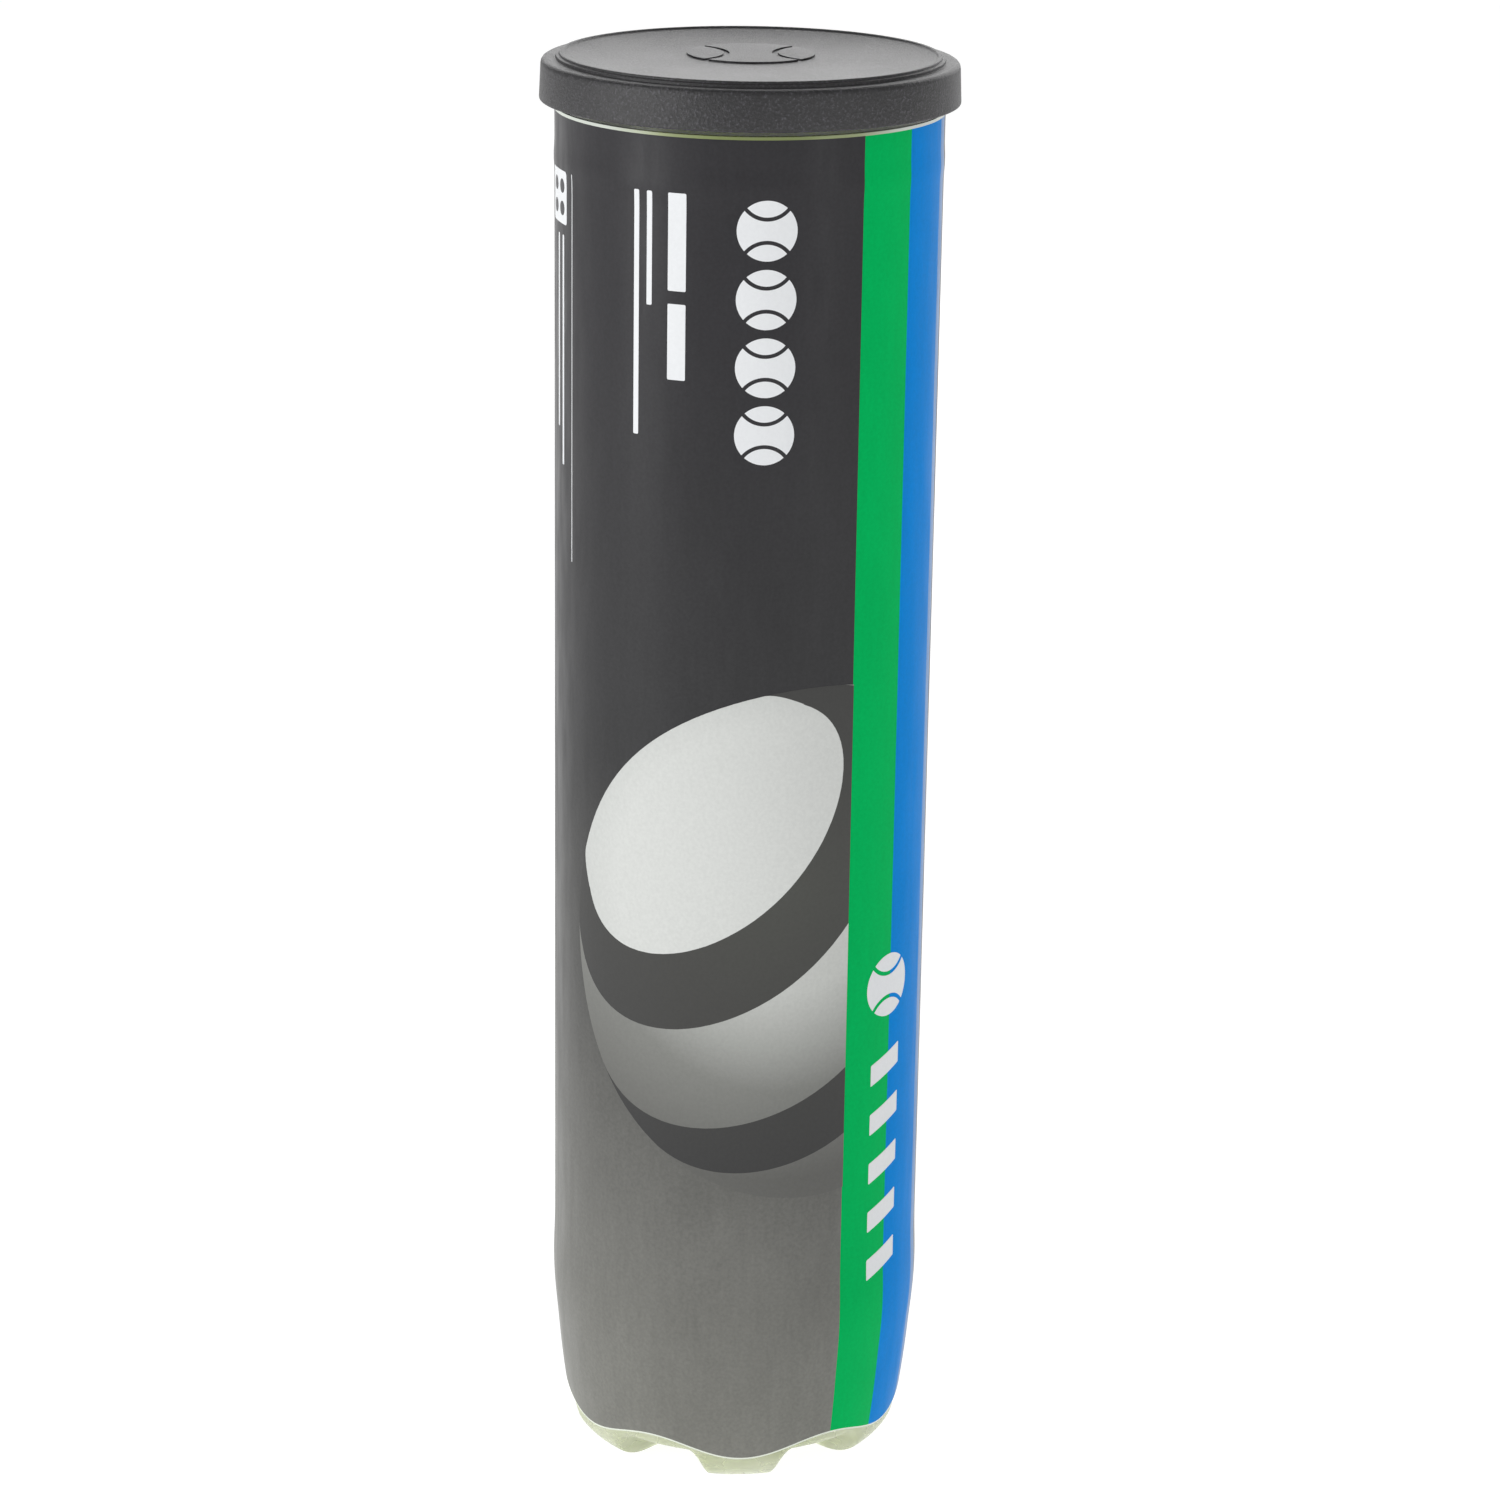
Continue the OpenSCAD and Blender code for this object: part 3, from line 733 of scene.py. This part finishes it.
def label_prints():
    # Four balls in a column say what is inside
    low = 210.5
    pitch = (PRINT_TOP - low) / 4
    icons = []
    for k in range(4):
        icons += ball_icon(at(2.3), low + pitch * (k + 0.5), pitch * 0.44)
    wrap(flat_shapes(icons), "print_four_balls", FILM_WHITE)
    # Plain bars in place of the lines of small print
    bars = [
        bar(at(-26.4), 243.0, at(-20.9), PRINT_TOP), bar(at(-26.4), 226.5, at(-20.9), 240.6),
        bar(at(-33.2), 240.0, at(-31.5), PRINT_TOP), bar(at(-37.5), 215.5, at(-35.8), PRINT_TOP),
        bar(at(-73.6), 205.0, at(-72.2), 249.0), bar(at(-78.0), 212.0, at(-76.6), 249.0),
        bar(at(-66.15), 187.0, at(-65.75), PRINT_TOP, corner=0.1),
    ]
    wrap(flat_shapes(bars), "print_bars", FILM_WHITE)
    # A box with four dots, at the far left
    wrap(flat_shapes([bar(at(-84.5), 251.0, at(-70.0), PRINT_TOP, corner=0.6)]), "print_box", FILM_WHITE)
    dots = []
    spread, sides = 2.1, 20
    for dx in (-spread, spread):
        for dy in (-spread, spread):
            dots.append(arc(at(-77.2) + dx, 256.0 + dy, 1.35, 0, TAU * (sides - 1) / sides, sides - 1))
    wrap(flat_shapes(dots), "print_dots", FILM_SEAM, lift=2 * PRINT_T)
    # At the back the film's edge overlaps, beside a plain panel of bars
    wrap(flat_shapes([bar(at(178.9), 12.0, at(179.6), 270.8, corner=0.1)]), "print_overlap", FILM_SEAM)
    wrap(flat_shapes([bar(at(128.0), 150.0, at(164.0), 240.0, corner=1.5)]), "print_back_panel", FILM_WHITE)
    low, pitch, height = 156.0, 8.6, 3.2
    lines = [bar(at(131.0), low + pitch * k, at(161.0 - 7 * (k % 3)), low + height + pitch * k)
             for k in range(10)]
    wrap(flat_shapes(lines), "print_back_lines", FILM_SEAM, lift=2 * PRINT_T)
    # A ball and slanted bars on the stripes
    marks = ball_icon(at(50.0), 104.0, 6.4)
    for k in range(5):
        y = 87.0 - 10.4 * k
        marks.append(bar(at(42.5), y - 3.2, at(56.5), y + 1.2, slant=0.30))
    wrap(flat_shapes(marks), "print_stripe_marks", FILM_WHITE)


# ---------------------------------------------------------------- tennis ball geometry

def ball_mesh(cells, gap, keep=None):
    """A unit ball of quads, cut along both edges of its seam. gap is the seam's half width in degrees.
    Returns a bmesh and, for each face, 0 or 1 for the felt panels and 2 for the seam."""
    bm = bmesh.new()
    bmesh.ops.create_cube(bm, size=2.0)
    bmesh.ops.subdivide_edges(bm, edges=bm.edges, cuts=cells - 1, use_grid_fill=True)
    for v in bm.verts:
        # Evens out the cells from the middle of a side to its corners
        v.co = Vector([math.tan(c * math.pi / 4) if abs(c) < 1 else c for c in v.co]).normalized()
    for up, centre in lobes():
        for widen in (-gap, gap):
            geometry = [f for f in bm.faces if f.calc_center_median().z * up > 0]
            touched = {e for f in geometry for e in f.edges} | {v for f in geometry for v in f.verts}
            level = math.cos(math.radians(LOBE_ANGLE + widen))
            bmesh.ops.bisect_plane(bm, geom=geometry + list(touched), dist=1e-5,
                                   plane_co=centre * level, plane_no=centre)
    bmesh.ops.remove_doubles(bm, verts=bm.verts, dist=2e-4)
    for v in bm.verts:
        v.co.normalize()
    kinds = [panel_of(f.calc_center_median().normalized(), gap) for f in bm.faces]
    return bm, kinds


def lobes():
    """The four circles that the seam follows: which half they lie in, and their centres."""
    tilt = math.radians(LOBE_TILT)
    for up in (1, -1):
        for side in (1, -1):
            flat = Vector((0, side, 0)) if up > 0 else Vector((side, 0, 0))
            yield up, (flat * math.cos(tilt) + Vector((0, 0, up * math.sin(tilt)))).normalized()


def seam_offset(direction):
    """Angle in degrees from the seam's middle line, positive on the first felt panel."""
    up = 1 if direction.z >= 0 else -1
    best = min(direction.angle(centre, 0) for half, centre in lobes() if half == up)
    return up * (math.degrees(best) - LOBE_ANGLE)


def panel_of(direction, gap):
    offset = seam_offset(direction)
    return 0 if offset > gap else 1 if offset < -gap else 2


# ---------------------------------------------------------------- the drawn ball on the sleeve

def drawn_ball_inks():
    """The inks of the far panel, the near panel and the seam's band, all shaded from one point."""
    turn = math.radians(12)
    glow_at = Vector((math.sin(turn), -math.cos(turn), 0)) * SLEEVE_R * MM
    glow_at.z = 0.128
    reach = 0.075
    near = print_ink("ink_panel_near", glow_at, reach, [
        (0.0, linear(214, 216, 213)), (0.45, linear(208, 210, 207)), (0.75, linear(176, 179, 176)),
        (1.0, linear(140, 142, 139)),
    ])
    far = print_ink("ink_panel_far", glow_at, reach, [
        (0.0, linear(206, 208, 204)), (0.28, linear(196, 198, 194)), (0.55, linear(128, 129, 125)),
        (0.8, linear(98, 98, 95)), (1.0, linear(100, 100, 97)),
    ])
    band = print_ink("ink_seam_band", glow_at, reach, [
        (0.0, linear(78, 79, 75)), (0.35, linear(70, 70, 68)), (1.0, linear(56, 56, 57)),
    ])
    return [far, near, band]


def drawn_ball():
    """A grey ball with its seam, seen from the side and cut off by the green stripe."""
    radius = 52.0
    centre = Vector((at(20.5), 116.0, 0))
    lobe = math.radians(LOBE_TILT)
    # The round end of one panel faces up and to the left of the viewer
    off_axis = math.radians(52)
    across = Vector((-0.675, 0.738, 0)).normalized()
    first = across * math.sin(off_axis) + Vector((0, 0, math.cos(off_axis)))
    waist_angle = off_axis - (math.pi / 2 - lobe)
    waist = across * math.sin(waist_angle) + Vector((0, 0, math.cos(waist_angle)))
    side = (waist - first * waist.dot(first)).normalized()
    # Tilts the pair so that the lobe's own centre, and not the ball's Y axis, lands on its place
    y_axis = first * math.cos(lobe) - side * math.sin(lobe)
    z_axis = first * math.sin(lobe) + side * math.cos(lobe)
    turn = Matrix((y_axis.cross(z_axis), y_axis, z_axis)).transposed()
    bm, kinds = ball_mesh(28, 8.5)
    for f, kind in zip(bm.faces, kinds):
        f.material_index = kind
    for v in bm.verts:
        v.co = turn @ v.co
    # Past the first panel the seam comes round again as one plain ring
    ring_from, ring_to, seam_ends = 81, 98, 72
    for limit in (ring_from, ring_to):
        slice_mesh(bm, first * math.cos(math.radians(limit)), first)
    for f in bm.faces:
        away = math.degrees(f.calc_center_median().angle(first))
        if away > seam_ends:
            f.material_index = 2 if ring_from < away < ring_to else 0
    # Keeps the side that is seen, and of it what lies left of the green stripe and just over its edge
    limb, over_edge = 0.012, 0.15
    slice_mesh(bm, (0, 0, limb), (0, 0, 1), clear_inner=True)
    for v in bm.verts:
        v.co = Vector((v.co.x, v.co.y, 0)) * radius + centre
    slice_mesh(bm, (at(GREEN_FROM) + over_edge, 0, 0), (1, 0, 0), clear_outer=True)
    return wrap(bm, "print_drawn_ball", drawn_ball_inks())


# ---------------------------------------------------------------- cap

def overcap():
    """The lid's shell: raised disc, shoulder, skirt, and the bead inside that holds under the seam."""
    plate = 1.2
    under = SEAM_TOP + 0.1
    step = CAP_TOP - LIP_H
    shoulder_r = CAP_R - 0.34
    hold_z = SEAM_TOP - 4.6
    corners = [
        (DISC_R - LIP_W - 0.1, step, 0.15), (DISC_R - LIP_W + 0.15, CAP_TOP, 0.12),
        (DISC_R - 0.1, CAP_TOP, 0.22), (DISC_R, CAP_TOP - 0.45, 0.1),
        (DISC_R + 0.55, CAP_TOP - 0.52, 0.12), (DISC_R + 0.62, SHOULDER_Z, 0.15),
        (shoulder_r, SHOULDER_Z, 1.1), (CAP_R, CAP_BOTTOM, 0.3), (CAP_INNER_R + 0.1, CAP_BOTTOM, 0.25),
        (CAP_INNER_R, hold_z - 0.5, 0.2), (SEAM_R + 0.06, hold_z + 0.2, 0.3),
        (CAP_INNER_R, hold_z + 0.9, 0.2), (CAP_INNER_R, under, 0.3),
        (DISC_R - 2.6, under, 0.3), (DISC_R - 3.4, step - plate, 0.4),
    ]
    outline = [(0, step)] + divide(round_corners(corners, 4), 3.0) + [(0, step - plate)]
    return lathe(outline, 240)


def cap_mark():
    """A plain raised ball with its two seam grooves."""
    base = CAP_TOP - LIP_H - 0.2        # a little way into the disc
    flat = flat_shapes(split_disc(MARK_R, MARK_SEAM_X, MARK_SEAM_R - MARK_GROOVE, MARK_SEAM_R, 28, 24))
    made = bmesh.ops.extrude_face_region(flat, geom=list(flat.faces))
    for v in made["geom"]:
        if isinstance(v, bmesh.types.BMVert):
            v.co.z = 1
    for v in flat.verts:
        v.co.z = CAP_TOP if v.co.z > 0.5 else base
    rims = [e for e in flat.edges if all(abs(v.co.z - CAP_TOP) < 1e-6 for v in e.verts)]
    bmesh.ops.bevel(flat, geom=rims, offset=0.16, segments=2, affect="EDGES")
    bmesh.ops.recalc_face_normals(flat, faces=flat.faces)
    return flat


def cap():
    verts, faces = overcap()
    mesh = bpy.data.meshes.new("overcap_shell")
    bm = cap_mark()
    points = [bm.verts.new(v) for v in verts]
    for f in faces:
        bm.faces.new([points[i] for i in f])
    bmesh.ops.recalc_face_normals(bm, faces=bm.faces)
    bmesh.ops.scale(bm, vec=(MM, MM, MM), verts=bm.verts)
    bm.to_mesh(mesh)
    bm.free()
    return finish_piece("overcap_shell", mesh, CAP, "cap", ["overcap"], recalc=False)


# ---------------------------------------------------------------- balls

def closed_shell(corners, count):
    """Faces of a shell: the outer skin, the inner one count points on, and a wall round their edges."""
    faces = corners + [[i + count for i in reversed(face)] for face in corners]
    edges = {}
    for face in corners:
        for a, b in zip(face, face[1:] + face[:1]):
            edges[(a, b)] = True
    return faces + [[b, a, a + count, b + count] for a, b in edges if (b, a) not in edges]


def ball_pieces(number):
    """Two felt panels and the seam of one ball, each a closed shell with soft edges."""
    body = f"ball_{number}"
    gap = math.degrees(SEAM_W / 2 / BALL_R)
    bm, kinds = ball_mesh(56, gap)
    bm.verts.ensure_lookup_table()
    place = (Matrix.Translation((0, 0, FIRST_BALL_Z + BALL_PITCH * (number - 1)))
             @ Matrix.Rotation(math.radians(BALL_TURNS[number - 1]), 4, "Z")
             @ Matrix.Rotation(math.radians(BALL_LEANS[number - 1]), 4, "X"))
    directions = [v.co.copy() for v in bm.verts]
    offsets = [abs(seam_offset(d)) for d in directions]
    corners = [[v.index for v in f.verts] for f in bm.faces]
    bm.free()
    degree = math.radians(1) * BALL_R       # one degree of the ball's surface, in millimetres
    for kind, part in enumerate(("felt_a", "felt_b", "seam")):
        is_seam = part == "seam"
        chosen = [c for c, k in zip(corners, kinds) if k == kind]
        used = sorted({i for c in chosen for i in c})
        index = {i: n for n, i in enumerate(used)}
        outer, inner = [], []
        for i in used:
            d = directions[i]
            from_edge = (offsets[i] - gap) * degree
            r = seam_r(from_edge) if is_seam else felt_r(from_edge) + nap(d, number + kind * 7)
            outer.append(place @ (d * r))
            inner.append(place @ (d * FELT_IN_R))
        faces = closed_shell([[index[i] for i in c] for c in chosen], len(used))
        material, slot = (SEAM_RUBBER, "seam_rubber") if is_seam else (FELT, "ball_felt")
        piece(f"{body}_{part}_cover", [tuple(p) for p in outer + inner], faces, material, body,
              [f"{body}_{part}"], sharp=60)
    for half in ("lower", "upper"):
        dress(f"{body}_core_{half}", CORE_RUBBER)


def seam_r(from_edge):
    """The seam lies below the felt and bows up to its middle; from_edge is below 0 on it."""
    return BALL_R - 0.75 + 0.2 * min(1, -from_edge / 0.5)


def felt_r(from_edge):
    """The felt turns down to the seam over its last millimetre."""
    return BALL_R - 0.55 + 0.5 * float(smooth(np.array(from_edge / 1.1))) ** 0.7


def nap(direction, seed):
    """Height of the nap in millimetres, from slow waves of fibre direction and short tufts."""
    slow = noise.noise(direction * 9 + Vector((seed, 0, 0)))
    fine = noise.noise(direction * 34 + Vector((0, seed, 0)))
    return 0.05 * slow + 0.06 * fine - 0.1


# ---------------------------------------------------------------- floor, light and camera

def floor():
    mesh = bpy.data.meshes.new("floor")
    half = 30.0
    corners = [(-half, -half, 0), (half, -half, 0), (half, half, 0), (-half, half, 0)]
    mesh.from_pydata(corners, [], [(0, 1, 2, 3)])
    obj = bpy.data.objects.new("floor", mesh)
    bpy.context.scene.collection.objects.link(obj)
    s = Shader("floor_white", (0.35, 0.35, 0.35), 0.7, Specular_IOR_Level=0.0)
    s.set("Emission Color", (1, 1, 1, 1))
    s.set("Emission Strength", 0.88)
    obj.data.materials.append(s.material)


WORLD_LIGHT = 0.38      # how bright the studio around the can is as a light


def area_light(name, place, target, size, power):
    light = bpy.data.lights.new(name, "AREA")
    light.shape = "RECTANGLE"
    light.size, light.size_y = size
    light.energy = power
    obj = bpy.data.objects.new(name, light)
    obj.location = place
    obj.rotation_euler = (Vector(target) - Vector(place)).to_track_quat("-Z", "Y").to_euler()
    bpy.context.scene.collection.objects.link(obj)


def lights():
    middle = (0, 0, 0.14)
    area_light("key_left", (-0.88, -0.42, 0.45), middle, (0.4, 0.9), 5.0)
    area_light("fill_right", (0.68, -0.8, 0.45), middle, (0.22, 0.9), 1.3)
    area_light("panel_behind", (0.3, 1.3, 0.75), (0, 0, 0.25), (1.8, 0.9), 10.0)
    world = bpy.data.worlds.new("studio")
    bpy.context.scene.world = world
    world.use_nodes = True
    tree = world.node_tree
    background = tree.nodes["Background"]
    background.inputs["Color"].default_value = (1, 1, 1, 1)
    # Seen directly, the studio is plain white; as light, it is dimmer
    seen = tree.nodes.new("ShaderNodeLightPath").outputs["Is Camera Ray"]
    strength = tree.nodes.new("ShaderNodeMapRange")
    strength.inputs["To Min"].default_value = WORLD_LIGHT
    strength.inputs["To Max"].default_value = 1.0
    tree.links.new(seen, strength.inputs["Value"])
    tree.links.new(strength.outputs["Result"], background.inputs["Strength"])


CAMERA_PLACE = (-0.04146, -0.7727, 0.3938)
CAMERA_LENS = 98.98


def camera():
    """Looks down at the can from a little to the left of its front."""
    data = bpy.data.cameras.new("camera")
    data.sensor_width = 36
    data.lens = CAMERA_LENS
    obj = bpy.data.objects.new("camera", data)
    bpy.context.scene.collection.objects.link(obj)
    pitch, roll, heading = math.radians(17.857), math.radians(0.831), math.radians(-3.2)
    turn = Matrix.Rotation(heading, 4, "Z") @ Matrix.Rotation(math.pi / 2 - pitch, 4, "X")
    place = Matrix.Translation(CAMERA_PLACE)
    obj.matrix_world = place @ turn @ Matrix.Rotation(roll, 4, "Z")
    data.clip_end = 200
    bpy.context.scene.camera = obj


camera()
floor()
lights()
can_shell()
sleeve()
label_prints()
drawn_ball()
cap()
for ball in (1, 2, 3, 4):
    ball_pieces(ball)
dress("end_ring", END_METAL)
dress("tear_panel", PANEL_METAL)
dress("tab_tongue", TAB_METAL)
dress("pull_tab", TAB_METAL)
dress("seam_gasket", COMPOUND)

bpy.context.scene.view_settings.view_transform = "Standard"
